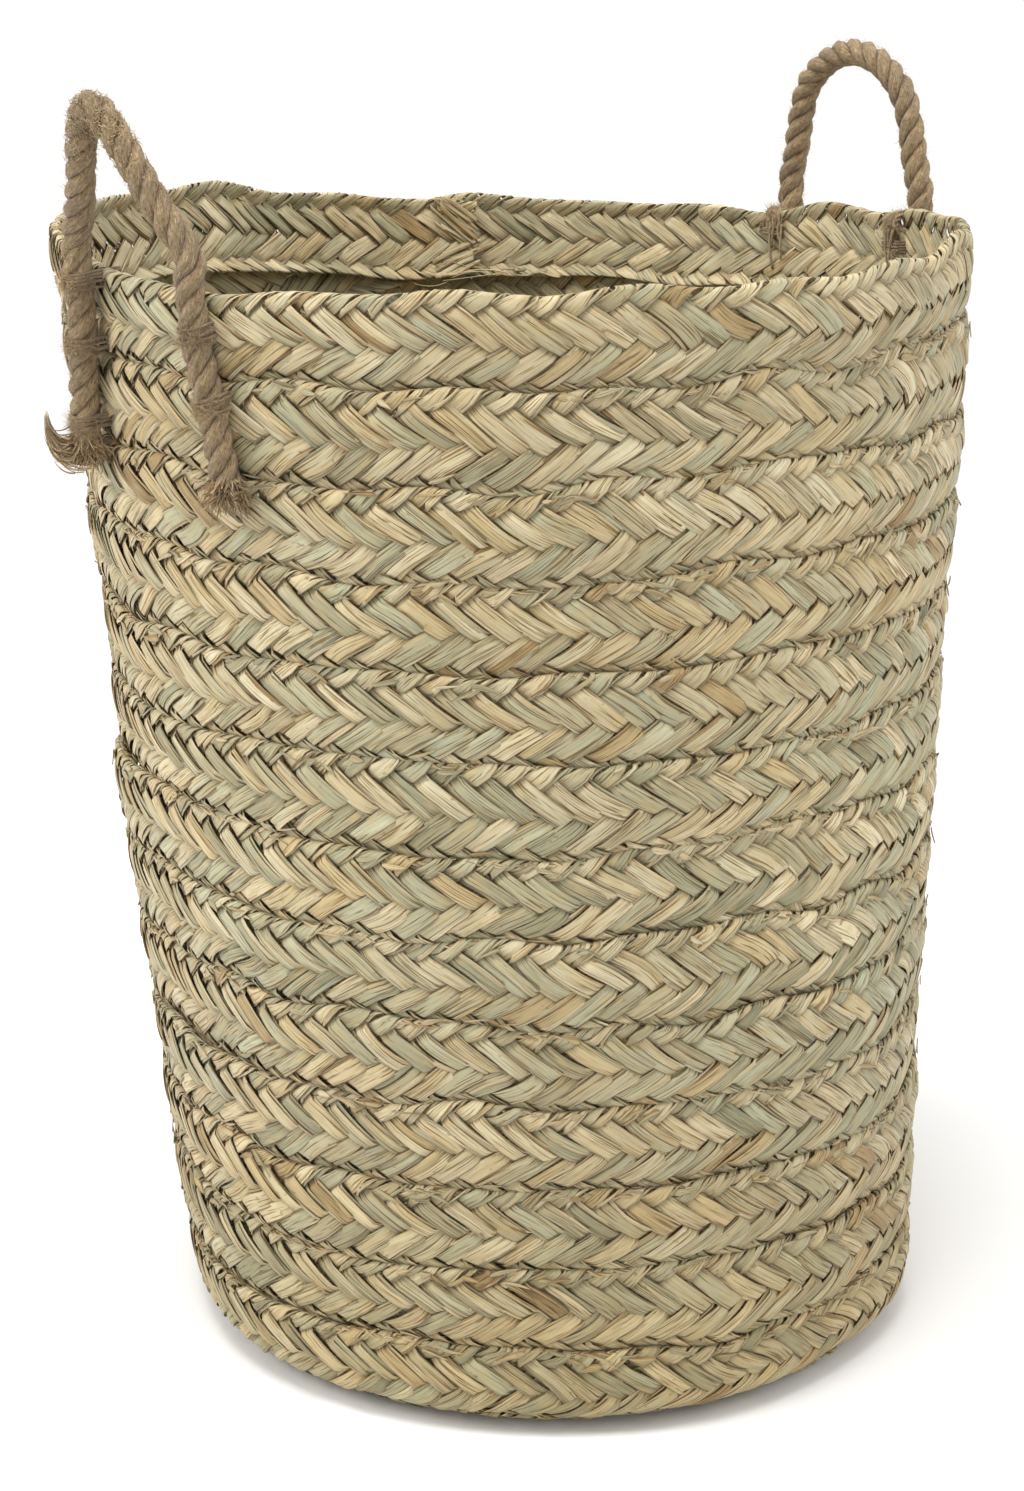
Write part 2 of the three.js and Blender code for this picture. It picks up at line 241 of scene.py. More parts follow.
TURN_STEP = 0.004
INNERMOST = 12.0  # radius at which the start of the strip is measured
TURN_STEPS = np.arange(-0.4, TURNS + 0.3, TURN_STEP)
TURN_RADII = profile_at(np.maximum(lower_edge(TURN_STEPS) + STRIP_WIDTH / 2, INNERMOST))[0]
TURN_LENGTHS = np.concatenate([[0.0], np.cumsum(
    2 * math.pi * TURN_STEP * (TURN_RADII[1:] + TURN_RADII[:-1]) / 2)])


def along_at(turns):
    """Length along the strip, growing to the right as seen from outside, so it falls as it is wound."""
    return -np.interp(turns, TURN_STEPS, TURN_LENGTHS)


def turns_at(along):
    return np.interp(-along, TURN_LENGTHS, TURN_STEPS)


# ======== meshes
def tube_faces(groups, stations, sides, first):
    """Loops and face sizes of closed tubes whose points run group by group, station by station."""
    corner = np.arange(sides)
    after = (corner + 1) % sides
    row = np.arange(stations - 1)[:, None] * sides
    quads = np.stack([row + corner, row + after, row + sides + after, row + sides + corner], -1)
    one = np.concatenate([quads.ravel(), corner[::-1], (stations - 1) * sides + corner])
    sizes = np.repeat([4, sides], [quads.size // 4, 2])
    offset = first + np.arange(groups)[:, None] * stations * sides
    return (one[None] + offset).ravel(), np.tile(sizes, groups)


def add_object(name, data, place=(0, 0, 0), turn=(0, 0, 0)):
    thing = bpy.data.objects.new(name, data)
    thing.location = place
    thing.rotation_euler = turn
    bpy.context.scene.collection.objects.link(thing)
    return thing


def build_piece(name, tubes, material):
    """One mesh from groups of tubes: dictionaries of points (group, station, side, xyz) in millimetres,
    and of the attributes tone, shade and grain."""
    loops, sizes, first = [], [], 0
    for tube in tubes:
        groups, stations, sides = tube["points"].shape[:3]
        tube_loops, tube_sizes = tube_faces(groups, stations, sides, first)
        loops.append(tube_loops)
        sizes.append(tube_sizes)
        first += groups * stations * sides
    points = np.concatenate([tube["points"].reshape(-1, 3) for tube in tubes]) * MM
    loops = np.concatenate(loops)
    sizes = np.concatenate(sizes)
    mesh = bpy.data.meshes.new(name)
    mesh.vertices.add(len(points))
    mesh.vertices.foreach_set("co", points.astype(np.float32).ravel())
    mesh.loops.add(len(loops))
    mesh.loops.foreach_set("vertex_index", loops.astype(np.int32))
    mesh.polygons.add(len(sizes))
    starts = np.concatenate([[0], np.cumsum(sizes)[:-1]])
    mesh.polygons.foreach_set("loop_start", starts.astype(np.int32))
    mesh.polygons.foreach_set("use_smooth", np.ones(len(sizes), bool))
    for key, kind, field, width in (("tone", "FLOAT", "value", 3), ("shade", "FLOAT", "value", 3),
                                    ("grain", "FLOAT_VECTOR", "vector", 4)):
        values = np.concatenate([np.broadcast_to(
            tube[key], tube["points"].shape[:width]).ravel() for tube in tubes])
        mesh.attributes.new(key, kind, "POINT").data.foreach_set(field, values.astype(np.float32))
    mesh.update(calc_edges=True)
    mesh.validate()
    mesh.materials.append(material)
    return add_object(name, mesh)


def normalised(vectors):
    return vectors / np.maximum(np.linalg.norm(vectors, axis=-1, keepdims=True), 1e-9)


def ring(angle, first, second):
    """Unit steps from an axis at these angles, between two directions square to it."""
    return np.cos(angle)[..., None] * first + np.sin(angle)[..., None] * second


def sweep(paths, radii, sides, reference):
    """Round tubes along paths (group, station, xyz), with radii (group, station)."""
    ahead = normalised(np.gradient(paths, axis=1))
    side = normalised(np.cross(ahead, reference))
    turn = np.arange(sides) * 2 * math.pi / sides
    spokes = ring(turn, side[:, :, None], np.cross(ahead, side)[:, :, None])
    return paths[:, :, None] + radii[:, :, None, None] * spokes


# ======== plait of the strip
# The section of one leaf strip: a lens of eight corners, creased along its middle
SECTION_ACROSS = np.array([-1, -0.8, 0.05, 0.82, 1, 0.82, 0.05, -0.8])
SECTION_THICK = np.array([0, 0.8, 1, 0.8, 0, -0.8, -1, -0.8])
SECTION_CREASE = np.array([0, 0, 1, 0, 0, 0, 1, 0])
LEAF_LIFT = np.array([-0.2, 0.2, -0.16])  # the middle leaf lies over its neighbours
FOLD_LENGTH = 0.4  # of a strand at each edge of the strip, in crossings
FOLD_STATIONS = 3
RUN_STATIONS = 18


def leaf_table(count, seed):
    """The leaf strips of each strand: where they lie across it, their colour, tilt and thickness.

    One broad leaf lies over two narrower ones that show along its edges."""
    rng = np.random.default_rng(seed)
    broad = np.where(rng.random(count) < 0.55, rng.uniform(0.7, 1.0, count),
                     rng.uniform(0.38, 0.65, count))
    free = 1 - broad
    split = rng.uniform(0.1, 0.9, count)
    side = np.stack([free * split, free * (1 - split)], -1) + 0.1
    widths = np.stack([side[:, 0], broad, side[:, 1]], -1)
    middle = np.stack([side[:, 0] / 2 - 0.5, (split - 0.5) * free, 0.5 - side[:, 1] / 2], -1)
    family = rng.random((count, 1))
    each = (count, LEAVES)
    own = rng.random(each)
    lift = LEAF_LIFT + rng.normal(0, 0.09, each)
    return {
        "middle": middle * COVER,
        "half": widths / 2 * COVER * 1.06,
        "tone": np.clip(0.5 * family + 0.5 * own + rng.normal(0, 0.05, each), 0, 1),
        "shade": rng.normal(0, 1, each),
        "tilt": rng.normal(SHINGLE, 0.07, each),
        "twist": rng.normal(0, 0.1, each),
        "lift": lift,
        "thick": rng.uniform(0.2, 0.34, each),
        "crease": rng.normal(0, 0.2, each),
        "slide": rng.normal(0, 0.05, each),
        "swing": rng.normal(0, 0.06, (count, 1)) + rng.normal(0, 0.035, each),
        "wobble": rng.uniform(0, 2 * math.pi, each),
    }


INDEX_SHIFT = int(-along_at(TURNS + 0.25) / CHEVRON) + 20
RISING = leaf_table(INDEX_SHIFT + 60, 101)
FALLING = leaf_table(INDEX_SHIFT + 60, 202)
STRIP_FINISH = TURNS - 0.002


def station_steps():
    """Steps across the strip, in crossings, closer together where the strand folds over an edge."""
    near = np.linspace(0, FOLD_LENGTH, FOLD_STATIONS, endpoint=False)
    run = np.linspace(FOLD_LENGTH, STRANDS - FOLD_LENGTH, RUN_STATIONS)
    return np.concatenate([near, run, STRANDS - near[::-1]])


def cut_square(crossing, sideways, start, ragged):
    """Draw strands that run past the end of the strip back to it; also how much each loses."""
    past = 2 * (along_at(STRIP_FINISH) / CHEVRON - start) - 2 * sideways
    cut = np.clip(past + 0.5 * np.sin(ragged * 5), 0, STRANDS)
    return np.where(cut > 0, cut + crossing * (STRANDS - cut) / STRANDS, crossing), cut


def folded(crossing):
    """Where strands lie across the strip, and how far they have rolled over its edges."""
    width = STRIP_WIDTH + 2 * FOLD_SPARE
    reach = width + (math.pi - 2) * STRAND_LIFT
    from_start = crossing / STRANDS * reach
    from_end = reach - from_start
    nearest = np.minimum(from_start, from_end)
    roll = np.clip(nearest / STRAND_LIFT, 0, math.pi / 2)
    inset = STRAND_LIFT * (1 - np.cos(roll)) + np.maximum(nearest - STRAND_LIFT * math.pi / 2, 0)
    return np.where(from_start < from_end, inset, width - inset) - FOLD_SPARE, roll


def interlaced(length):
    """The side of the strip that a strand is on, -1 behind to 1 in front, and its bulge that way."""
    def dive(at):
        return smoothstep(at - DIVE, at + DIVE, length)

    layer = -1 + 2 * dive(0.5 * FLOAT) - 2 * dive(1.5 * FLOAT) + 2 * dive(LAST_DIVE)
    return layer, np.sin(math.pi * (length / FLOAT - 0.5))


def strand_tubes(index, own, after, falling):
    """The leaf strips of the strands with these indices, from one edge of the strip to the other.

    The arrays are (strand, leaf, station, corner of the leaf's section)."""
    steps = station_steps()[:, None]
    slot = index + INDEX_SHIFT
    next_slot = index + (5 if falling else 4) + INDEX_SHIFT
    start = (index + (0.5 if falling else 0.0))[:, None, None, None]

    def passed_on(key, share):
        """A leaf's value, going over to that of the strand it folds into at its end."""
        first = own[key][slot][:, :, None, None]
        second = after[key][next_slot][:, :, None, None]
        return first + (second - first) * share

    def both(key):
        return passed_on(key, smoothstep(LAST_DIVE - DIVE, LAST_DIVE + DIVE, steps))

    def switched(key):
        return passed_on(key, steps >= LAST_DIVE)

    middle = both("middle")
    ragged = own["wobble"][slot][:, :, None, None]
    wobble = 0.03 * np.sin(steps * 1.1 + ragged) * np.sin(steps * math.pi / STRANDS)
    from_edge = np.minimum(steps, STRANDS - steps)
    swell = np.abs(np.sin(math.pi * (steps / FLOAT - 0.5))) ** 0.6
    edge_taper = 0.55 + 0.45 * smoothstep(0.0, 1.1, from_edge)
    aside = both("half") * (0.88 + 0.13 * swell) * edge_taper * SECTION_ACROSS
    sideways = middle + wobble + aside
    length = steps + middle + wobble + aside * (1 - smoothstep(0.4, 1.6, from_edge))
    crossing, cut = cut_square(length - sideways, sideways, start, ragged)
    length = crossing + sideways
    across, roll = folded(crossing)
    layer, rise = interlaced(length)
    flat = np.sin(roll)
    out = STRAND_LIFT * layer + STRAND_BULGE * np.sign(rise) * np.abs(rise) ** 0.7
    facing = np.clip(layer * 1.4, -1, 1)
    lean = both("tilt") * facing + both("twist") * np.cos(math.pi * (length / FLOAT - 0.5))
    out = (out + both("lift") * facing + lean * sideways * 7) * flat
    thick = both("thick") * SECTION_THICK + both("crease") * SECTION_CREASE * facing
    across = across + thick * np.cos(roll)
    out = out + thick * flat
    slide = (both("slide") + both("swing") * rise) * flat
    turns = turns_at((start + (length + sideways) / 2 + slide) * CHEVRON)
    corners = SECTION_ACROSS
    if falling:
        points = strip_point(turns, STRIP_WIDTH - across, out)[:, :, :, ::-1]
        corners = corners[::-1]
    else:
        points = strip_point(turns, across, out)
    grain = np.stack(np.broadcast_arrays(length * 7.7, corners, switched("wobble") * 20), -1)
    # painted shade: the shade attribute darkens each leaf where its strand dives under the crossing
    # strands, on top of a random brightness per leaf
    from_dive = np.abs(length % FLOAT - FLOAT / 2)
    shade = switched("shade") - 3.4 * (1 - smoothstep(0.0, 0.26, from_dive))
    tone = np.clip(switched("tone") + BATCH_TONE * waves(turns, 71, 9, 1.7, 0.25), 0, 1)
    kept = cut.min(axis=(2, 3)) < STRANDS - 0.8
    return {"points": points[kept], "tone": tone[kept], "shade": shade[kept], "grain": grain[kept]}


def plait(first_turn, last_turn):
    """The strands of one stretch of the strip: those whose middles lie in it."""
    left = along_at(last_turn) / CHEVRON - STRANDS / 4
    right = along_at(first_turn) / CHEVRON - STRANDS / 4
    rising = np.arange(math.ceil(left), math.ceil(right))
    falling = np.arange(math.ceil(left - 0.5), math.ceil(right - 0.5))
    return [strand_tubes(rising, RISING, FALLING, False), strand_tubes(falling, FALLING, RISING, True)]


def drawer(rng, count):
    """Draws a number between two others for each of so many leaves."""
    return lambda low, high: rng.uniform(low, high, count)[:, None, None]


def blades(along, across, out, half, roll, crease, tone, shade, grain_start):
    """Flat leaf strips along the given lines; every argument is (leaf, station, 1)."""
    aside = half * SECTION_ACROSS
    thick = LOOSE_THICKNESS * SECTION_THICK + crease * SECTION_CREASE
    points = strip_point(
        turns_at(along + 0 * aside), across + aside * np.cos(roll) - thick * np.sin(roll),
        out + aside * np.sin(roll) + thick * np.cos(roll))
    leftward = (along[:, -1] < along[:, 0])[:, :, None, None]
    points = np.where(leftward, points[:, :, ::-1], points)
    run = np.abs(along - along[:, :1])
    grain = np.stack(np.broadcast_arrays(run + 0 * aside, SECTION_ACROSS, grain_start), -1)
    return {"points": points, "tone": tone, "shade": shade, "grain": grain}


def loose_leaves(first_turn, last_turn, seed):
    """Split leaf ends and frayed bits that stick out of the seams and lie along the strip."""
    rng = np.random.default_rng(seed)
    left, right = along_at(last_turn), along_at(first_turn)
    count = int((right - left) / LOOSE_LEAF_SPACING)
    t = np.linspace(0, 1, 8)[None, :, None]
    each = drawer(rng, count)
    top_share = 0.0 if last_turn > TURNS - 1 else 0.6
    at_top = rng.random(count) < top_share
    root = np.where(at_top, rng.uniform(34, 38, count), rng.uniform(0, 5, count))[:, None, None]
    way = np.where(rng.random(count) < 0.75, 1.0, -1.0)[:, None, None]
    length = each(4, 13)
    along = each(left, right) + way * length * (t - 0.15)
    across = root + length * (each(-0.35, 0.35) * t + each(-0.3, 0.3) * t * t)
    lift = each(0.3, 1.8) + length * each(0.0, 0.16) * t ** 1.6
    half = each(0.5, 1.5) * np.clip(1.02 - t ** 2.2, 0, 1) ** 0.8 * np.clip(0.4 + 3 * t, 0, 1)
    roll = each(-0.6, 0.6) + each(-0.9, 0.9) * t
    return blades(along, across, 1.4 + lift, half, roll, each(-0.25, 0.25), each(0.2, 0.95),
                  each(-2.0, 1.0), each(0, 90))


def strip_end(seed):
    """The split, squarely cut leaves at the strip's end, and a few fibres beside them."""
    rng = np.random.default_rng(seed)
    end = along_at(STRIP_FINISH)
    count = 22
    t = np.linspace(0, 1, 8)[None, :, None]
    each = drawer(rng, count)
    place = np.linspace(2.5, STRIP_WIDTH - 3.5, count)[:, None, None]
    upper = place > STRIP_WIDTH * 0.46
    slope = np.where(upper, -each(0.5, 0.85), each(0.35, 0.7))
    past = each(-1.0, 4.0)
    past[7] = 10.0  # one leaf is left longer than the others
    length = each(14, 22)
    along = end - past + length * (1 - t)
    across = place - slope * (length - 6) * (1 - t) * 0.9 + 0.4 * slope * length * t
    out = -each(3.4, 4.4) - each(0.2, 1.6) * t ** 2
    half = each(0.8, 1.7) + 0 * t
    ends = blades(along, np.clip(across, 1, STRIP_WIDTH), out, half, each(-0.25, 0.25), each(-0.2, 0.2),
                  each(0.35, 0.95), each(-2.0, 1.0), each(0, 90))
    each = drawer(rng, 9)
    t = np.linspace(0, 1, 12)[None, :, None]
    along = end + each(8, 34) - each(12, 30) * t
    across = each(-2, 8) + each(-4, 9) * t + each(-7, 9) * t * (1 - t)
    out = -4.6 - each(0.2, 1.8) * np.sin(math.pi * t)
    fibres = blades(along, across, out, each(0.15, 0.3) + 0 * t, each(-1, 1), each(-0.1, 0.1),
                    each(0.5, 0.8), 0.8, each(0, 90))
    return [ends, fibres]


# ======== materials
def linear(red, green, blue):
    """A colour as seen, 0 to 255, in the renderer's linear numbers."""
    def channel(value):
        value = value / 255
        return value / 12.92 if value <= 0.04045 else ((value + 0.055) / 1.055) ** 2.4
    return (channel(red), channel(green), channel(blue), 1.0)


class Nodes:
    """A short way to write a material's nodes."""

    def __init__(self, name):
        self.material = bpy.data.materials.new(name)
        self.material.use_nodes = True
        self.tree = self.material.node_tree
        self.shader = self.tree.nodes["Principled BSDF"]

    def add(self, kind, inputs=None, **settings):
        node = self.tree.nodes.new(kind)
        for key, value in settings.items():
            setattr(node, key, value)
        for key, value in (inputs or {}).items():
            self.link(value, node.inputs[key])
        return node

    def link(self, value, socket):
        if isinstance(value, bpy.types.NodeSocket):
            self.tree.links.new(value, socket)
        else:
            socket.default_value = value

    def attribute(self, name, output):
        return self.add("ShaderNodeAttribute", attribute_name=name).outputs[output]

    def math(self, operation, first, second=0.0, third=0.0):
        return self.add("ShaderNodeMath", {0: first, 1: second, 2: third}, operation=operation).outputs[0]

    def ramp(self, factor, stops):
        node = self.add("ShaderNodeValToRGB", {"Fac": factor})
        for place, _ in stops[2:]:
            node.color_ramp.elements.new(place)
        for element, (place, colour) in zip(node.color_ramp.elements, stops):
            element.position = place
            element.color = colour
        return node.outputs["Color"]

    def mix(self, factor, first, second, blend="MIX"):
        node = self.add("ShaderNodeMix", data_type="RGBA", blend_type=blend)
        self.link(factor, node.inputs[0])
        self.link(first, node.inputs[6])
        self.link(second, node.inputs[7])
        return node.outputs[2]

    def times(self, first, second):
        return self.mix(1.0, first, second, "MULTIPLY")

    def noise(self, vector, scale, detail=2.0, roughness=0.5):
        return self.add("ShaderNodeTexNoise", {
            "Vector": vector, "Scale": scale, "Detail": detail, "Roughness": roughness,
        }).outputs["Fac"]

    def scaled(self, vector, scale):
        return self.add("ShaderNodeVectorMath", {0: vector, 1: scale}, operation="MULTIPLY").outputs[0]

    def surface(self, height, strength, distance, inputs):
        """Fill in the shader, with its bumps, and return the material."""
        bump = self.add("ShaderNodeBump", {"Height": height, "Strength": strength, "Distance": distance})
        for key, value in {**inputs, "Normal": bump.outputs[0]}.items():
            self.link(value, self.shader.inputs[key])
        return self.material


def grey(value):
    return (value, value, value, 1.0)


BROWNED = (0.72, 0.64, 0.5, 1.0)
DEEP_BROWN = (0.42, 0.31, 0.18, 1.0)
# painted shade along the edges of leaves, where they meet their neighbours
EDGE_PAINTED_SHADE = (0.56, 0.45, 0.31, 1.0)
# colour at the foot of the wall: darker and yellower
FOOT_TINT = (0.83, 0.79, 0.68, 1.0)


def seagrass_material(name, tan):
    """Dry split leaf: sage, cream and straw, streaked along its length, with brown tips and specks."""
    n = Nodes(name)
    grain = n.attribute("grain", "Vector")
    tone = n.attribute("tone", "Fac")
    shade = n.attribute("shade", "Fac")
    leaf = n.ramp(tone, [
        (0.0, linear(136, 134, 107)), (0.22, linear(155, 152, 124)), (0.42, linear(165, 160, 129)),
        (0.56, linear(181, 170, 138)), (0.7, linear(195, 181, 146)), (0.84, linear(178, 160, 119)),
        (0.94, linear(154, 131, 90)), (1.0, linear(126, 101, 64)),
    ])
    streaks = n.noise(n.scaled(grain, (0.05, 3.2, 1.0)), 1.0, 3.0, 0.6)
    leaf = n.times(leaf, n.ramp(streaks, [(0.3, BROWNED), (0.46, grey(0.96)), (0.7, grey(1.18))]))
    # painted shade: the shade attribute darkens the leaf, and browns it the darker it gets, where strands
    # dive under crossings; it also holds a random brightness per leaf
    light = n.math("MAXIMUM", n.math("MULTIPLY_ADD", shade, 0.1, 1.0), 0.2)
    light = n.add("ShaderNodeCombineXYZ", {
        0: n.math("POWER", light, 0.8), 1: light, 2: n.math("POWER", light, 1.3),
    }).outputs[0]
    leaf = n.times(leaf, light)
    patches = n.noise(n.scaled(grain, (0.08, 0.7, 1.0)), 1.0, 2.0, 0.5)
    straw = n.ramp(patches, [(0.5, grey(0)), (0.72, grey(0.6))])
    leaf = n.mix(straw, leaf, linear(180, 159, 112))
    spots = n.noise(n.scaled(grain, (0.22, 0.9, 2.0)), 1.0, 2.5, 0.6)
    brown = n.ramp(spots, [(0.66, grey(0)), (0.75, grey(0.75))])
    leaf = n.mix(brown, leaf, linear(130, 94, 58))
    cracks = n.noise(n.scaled(grain, (0.05, 5.2, 3.0)), 1.0, 2.0, 0.5)
    leaf = n.times(leaf, n.ramp(cracks, [(0.375, DEEP_BROWN), (0.44, grey(1.0))]))
    place = n.add("ShaderNodeTexCoord").outputs["Object"]
    stains = n.noise(place, 9.0, 3.0, 0.55)
    tanned = n.ramp(stains, [(0.35, grey(0.0)), (0.75, grey(0.5))])
    leaf = n.mix(n.math("MULTIPLY", tanned, 0.5 + tan), leaf, linear(170, 148, 102))
    # the leaf is darker and yellower towards the foot of the basket, brightest at half height, and a little
    # darker at the rim
    height = n.add("ShaderNodeSeparateXYZ", {0: place}).outputs[2]
    height = n.math("MULTIPLY", height, 1 / (HEIGHT * MM))
    leaf = n.times(leaf, n.ramp(height, [(0.0, FOOT_TINT), (0.3, grey(0.9)), (0.5, grey(1.03)),
                                         (0.75, grey(1.0)), (1.0, grey(0.95))]))
    # painted shade: the leaf darkens to brown along its edges, where it meets and tucks under its
    # neighbours
    edge = n.math("ABSOLUTE", n.add("ShaderNodeSeparateXYZ", {0: grain}).outputs[1])
    leaf = n.times(leaf, n.ramp(edge, [(0.82, grey(1.0)), (0.97, EDGE_PAINTED_SHADE)]))
    fine = n.noise(n.scaled(grain, (0.12, 7.0, 1.0)), 1.0, 3.0, 0.6)
    fine = n.math("ADD", fine, n.ramp(cracks, [(0.355, grey(0.0)), (0.41, grey(0.8))]))
    return n.surface(fine, 0.6, 0.0004, {
        "Base Color": leaf, "Roughness": n.ramp(streaks, [(0.3, grey(0.78)), (0.7, grey(0.5))]),
        "Specular IOR Level": 0.35, "Sheen Weight": 0.08,
    })


def fibre_material(name, dark, middle, light):
    """Jute: coarse fibres along the yarn, uneven in colour, with light loose hairs."""
    n = Nodes(name)
    grain = n.attribute("grain", "Vector")
    tone = n.attribute("tone", "Fac")
    fibres = n.noise(n.scaled(grain, (0.4, 2.4, 1.0)), 1.0, 5.0, 0.7)
    colour = n.ramp(fibres, [(0.33, dark), (0.48, middle), (0.65, light)])
    colour = n.mix(n.math("MULTIPLY", tone, 0.6), colour, light)
    place = n.add("ShaderNodeTexCoord").outputs["Object"]
    patches = n.noise(place, 60.0, 3.0, 0.6)
    colour = n.times(colour, n.ramp(patches, [(0.3, grey(0.76)), (0.7, grey(1.14))]))
    specks = n.noise(place, 620.0, 2.0, 0.6)
    colour = n.times(colour, n.ramp(specks, [(0.32, BROWNED), (0.46, grey(1.0)), (0.7, grey(1.12))]))
    # the shade attribute darkens the jute towards deep brown: painted shade in the grooves of the rope, and
    # a darker colour on threads and some frayed hairs
    shade = n.attribute("shade", "Fac")
    colour = n.times(colour, n.ramp(shade, [(0.0, DEEP_BROWN), (0.6, grey(1.0))]))
    fine = n.noise(n.scaled(grain, (0.7, 9.0, 1.0)), 1.0, 4.0, 0.7)
    return n.surface(fine, 0.9, 0.001, {
        "Base Color": colour, "Roughness": 0.9, "Specular IOR Level": 0.2,
        "Sheen Weight": 0.25, "Sheen Roughness": 0.5,
    })


STUDIO_WHITE = 1.03
FLOOR_REACH = 4.0  # metres


def floor_material():
    """Pale and plain, and lost in the white of the studio further off."""
    n = Nodes("pale_floor")
    place = n.add("ShaderNodeTexCoord").outputs["Object"]
    cloud = n.noise(place, 2.0, 3.0, 0.5)
    n.link(n.ramp(cloud, [(0.3, grey(0.83)), (0.7, grey(0.86))]), n.shader.inputs["Base Color"])
    n.shader.inputs["Roughness"].default_value = 0.9
    away = n.add("ShaderNodeVectorMath", {0: place}, operation="LENGTH").outputs["Value"]
    away = n.add("ShaderNodeMapRange", {"Value": away, "From Min": 0.4, "From Max": 1.5},
                 interpolation_type="SMOOTHSTEP").outputs["Result"]
    white = n.add("ShaderNodeEmission", {"Strength": STUDIO_WHITE}).outputs[0]
    mixed = n.add("ShaderNodeMixShader", {0: away, 1: n.shader.outputs[0], 2: white}).outputs[0]
    n.link(mixed, n.tree.nodes["Material Output"].inputs["Surface"])
    return n.material


# ======== rope handles
def lengths_along(path):
    return np.concatenate([[0], np.cumsum(np.linalg.norm(np.diff(path, axis=0), axis=1))])


def point_at(path, gone, at):
    """The place on a path at these lengths along it."""
    return np.stack([np.interp(at, gone, path[:, i]) for i in range(3)], -1)


def smooth_path(points, count):
    """Evenly spaced points on a smooth curve through these."""
    points = np.asarray(points, float)
    padded = np.concatenate([[2 * points[0] - points[1]], points, [2 * points[-1] - points[-2]]])
    parts = []
    t = np.linspace(0, 1, 40, endpoint=False)[:, None]
    for i in range(1, len(padded) - 2):
        a, b, c, d = padded[i - 1:i + 3]
        parts.append(0.5 * (2 * b + (c - a) * t + (2 * a - 5 * b + 4 * c - d) * t ** 2
                            + (3 * b - a - 3 * c + d) * t ** 3))
    dense = np.concatenate(parts + [points[-1:]])
    gone = lengths_along(dense)
    return point_at(dense, gone, np.linspace(0, gone[-1], count))


def rope_on_wall(handle, across, height):
    theta = math.radians(handle["angle"]) + across / RIM_RADIUS
    distance = PROFILE_LENGTH + height / math.sin(WALL_SLOPE)
    return basket_point(theta, distance, HALF_THICKNESS + ROPE_CLEARANCE + ROPE_RADIUS)


def pivot_of(handle):
    """The ends of the level line that the loop bends about."""
    ends = [rope_on_wall(handle, side * handle["half_spacing"], 0) for side in (-1, 1)]
    height = max(ends[0][2], ends[1][2]) + PIVOT_ABOVE_RIM
    for end in ends:
        end[2] = height
    return ends


def outward_of(handle):
    theta = math.radians(handle["angle"])
    return np.array([math.cos(theta), math.sin(theta), 0])


def rope_path(handle):
    """The middle of the whole rope, from the cut end of one leg to the cut end of the other."""
    low, high = pivot_of(handle)
    middle, half = (low + high) / 2, (high - low) / 2
    tilt = math.radians(handle["tilt"])
    rise = UP * math.cos(tilt) + outward_of(handle) * math.sin(tilt)

    def loop_point(across, height):
        return middle + half * across + rise * height * handle["loop_height"]

    def leg(end, top):
        spread = end["foot_spread"]
        at = [(1.0, -LEG_LENGTH), (0.6, -LEG_LENGTH * 0.6), (0.2, -LEG_LENGTH * 0.3)]
        points = [rope_on_wall(handle, end["side"] * (handle["half_spacing"] + spread * share), height)
                  for share, height in at]
        points.append(top - UP * LEG_ROOT)
        return points

    sides = {end["side"]: end for end in (handle["rear"], handle["front"])}
    up = leg(sides[-1], low) + [loop_point(-w, h) for w, h in handle["outline"]]
    down = leg(sides[1], high) + [loop_point(w, h) for w, h in handle["outline"]]
    return np.array(up + [loop_point(0, 1)] + down[::-1])


def carried_frames(path):
    """The path's direction, and two square to it that turn as little as they can."""
    ahead = normalised(np.gradient(path, axis=0))
    side = np.zeros_like(path)
    side[0] = normalised(np.cross(ahead[0], [0.3, 0.5, 0.1]))
    for i in range(1, len(path)):
        side[i] = normalised(side[i - 1] - ahead[i] * np.dot(side[i - 1], ahead[i]))
    return ahead, side, np.cross(ahead, side)


ROPE_STEP = 1.1
STRAND_SIDES = 20
YARNS = 6  # ridges round one strand
STRAND_RADIUS = 3.15
STRAND_BREADTH = 1.05  # a strand is pressed flat against the other two
STRAND_OFFSET = 3.1
ROPE_HAIRS = 3400
CROWN_SPREAD = 17  # steps over which the crown of a loop is felted by wear
ROPE_TRIM = 5  # steps by which the laid strands stop short of the teased-out end


